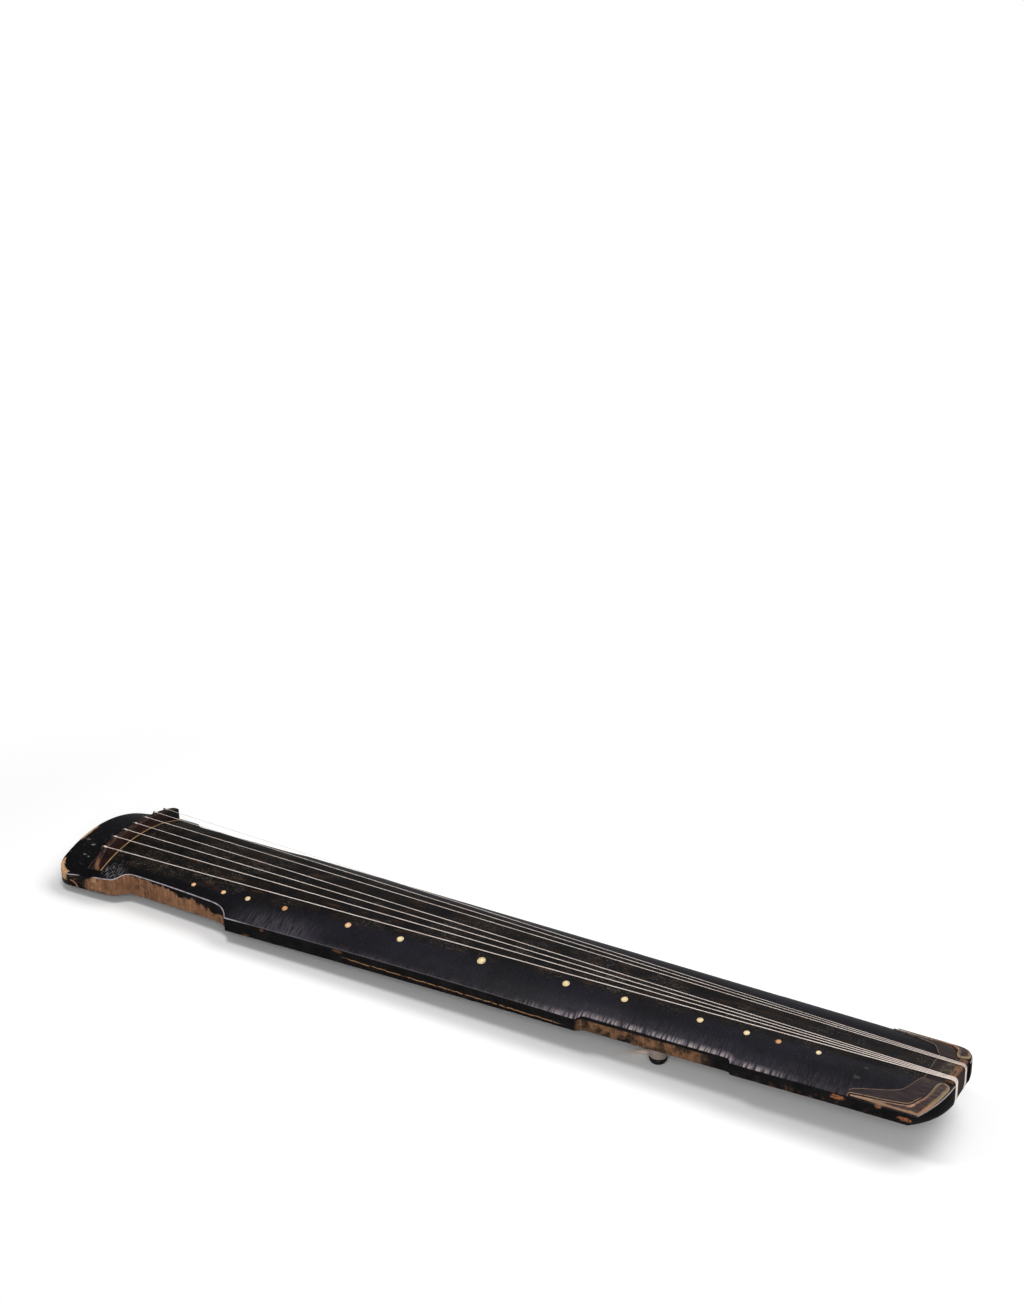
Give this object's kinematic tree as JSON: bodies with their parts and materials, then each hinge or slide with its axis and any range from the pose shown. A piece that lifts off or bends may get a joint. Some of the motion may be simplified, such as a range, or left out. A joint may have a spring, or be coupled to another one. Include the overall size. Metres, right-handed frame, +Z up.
{
  "type": "guqin",
  "caption": "Long silk-strung zither of black lacquered wood with an arched hollow body, bridge, inlaid studs, turning pegs, goose feet and stepped tail crowns.",
  "frame": {"origin": "on the floor plane under the middle of the whole instrument's box", "axes": "+X along the body from the head to the tail, +Y from the studs' side to the player's side, +Z up; the body is tilted, head down, onto its guards and goose feet"},
  "size_m": [1.191, 0.188, 0.0769],
  "materials": {
    "lacquer": "old black lacquer, satin, with fine cracks and worn edges",
    "dark_wood": "dark red-brown hardwood, waxed",
    "crown_wood": "red-brown lacquered hardwood, worn tan along the edges",
    "raw_wood": "bare softwood",
    "horn": "polished black horn",
    "stud": "pale gold shell, matt with wear",
    "silk": "twisted silk",
    "loop": "twisted silk cord"
  },
  "bodies": {
    "instrument": {"top_board": "lacquer", "bottom_board": "lacquer", "sound_post_round": "raw_wood", "sound_post_square": "raw_wood", "bridge": "dark_wood", "string_hole_strip": "dark_wood", "stud_1": "stud", "stud_2": "stud", "stud_3": "stud", "stud_4": "stud", "stud_5": "stud", "stud_6": "stud", "stud_7": "stud", "stud_8": "stud", "stud_9": "stud", "stud_10": "stud", "stud_11": "stud", "stud_12": "stud", "stud_13": "stud", "nut": "dark_wood", "tail_support": "dark_wood", "tail_plate": "crown_wood", "crown_base_near": "crown_wood", "crown_rim_near": "crown_wood", "crown_base_far": "crown_wood", "crown_rim_far": "crown_wood", "peg_plate": "dark_wood", "peg_guard_near": "dark_wood", "foot_socket_near": "raw_wood", "goose_foot_near": "horn", "peg_guard_far": "dark_wood", "foot_socket_far": "raw_wood", "goose_foot_far": "horn", "string_1": "silk", "string_2": "silk", "string_3": "silk", "string_4": "silk", "string_5": "silk", "string_6": "silk", "string_7": "silk", "silk_loop_1": "loop", "silk_loop_2": "loop", "silk_loop_3": "loop", "silk_loop_4": "loop", "silk_loop_5": "loop", "silk_loop_6": "loop", "silk_loop_7": "loop"},
    "peg_1": {"peg_1": "horn"},
    "peg_2": {"peg_2": "horn"},
    "peg_3": {"peg_3": "horn"},
    "peg_4": {"peg_4": "horn"},
    "peg_5": {"peg_5": "horn"},
    "peg_6": {"peg_6": "horn"},
    "peg_7": {"peg_7": "horn"}
  },
  "joints": [
    {"name": "peg_1_turn", "type": "hinge", "parent": "instrument", "child": "peg_1", "pos_m": [-0.5385, -0.0615, 0.01064], "axis": [-0.0267, 0, 0.9996], "continuous": true},
    {"name": "peg_2_turn", "type": "hinge", "parent": "instrument", "child": "peg_2", "pos_m": [-0.5385, -0.041, 0.01064], "axis": [-0.0267, 0, 0.9996], "continuous": true},
    {"name": "peg_3_turn", "type": "hinge", "parent": "instrument", "child": "peg_3", "pos_m": [-0.5385, -0.0205, 0.01064], "axis": [-0.0267, 0, 0.9996], "continuous": true},
    {"name": "peg_4_turn", "type": "hinge", "parent": "instrument", "child": "peg_4", "pos_m": [-0.5385, 0, 0.01064], "axis": [-0.0267, 0, 0.9996], "continuous": true},
    {"name": "peg_5_turn", "type": "hinge", "parent": "instrument", "child": "peg_5", "pos_m": [-0.5385, 0.0205, 0.01064], "axis": [-0.0267, 0, 0.9996], "continuous": true},
    {"name": "peg_6_turn", "type": "hinge", "parent": "instrument", "child": "peg_6", "pos_m": [-0.5385, 0.041, 0.01064], "axis": [-0.0267, 0, 0.9996], "continuous": true},
    {"name": "peg_7_turn", "type": "hinge", "parent": "instrument", "child": "peg_7", "pos_m": [-0.5385, 0.0615, 0.01064], "axis": [-0.0267, 0, 0.9996], "continuous": true}
  ]
}
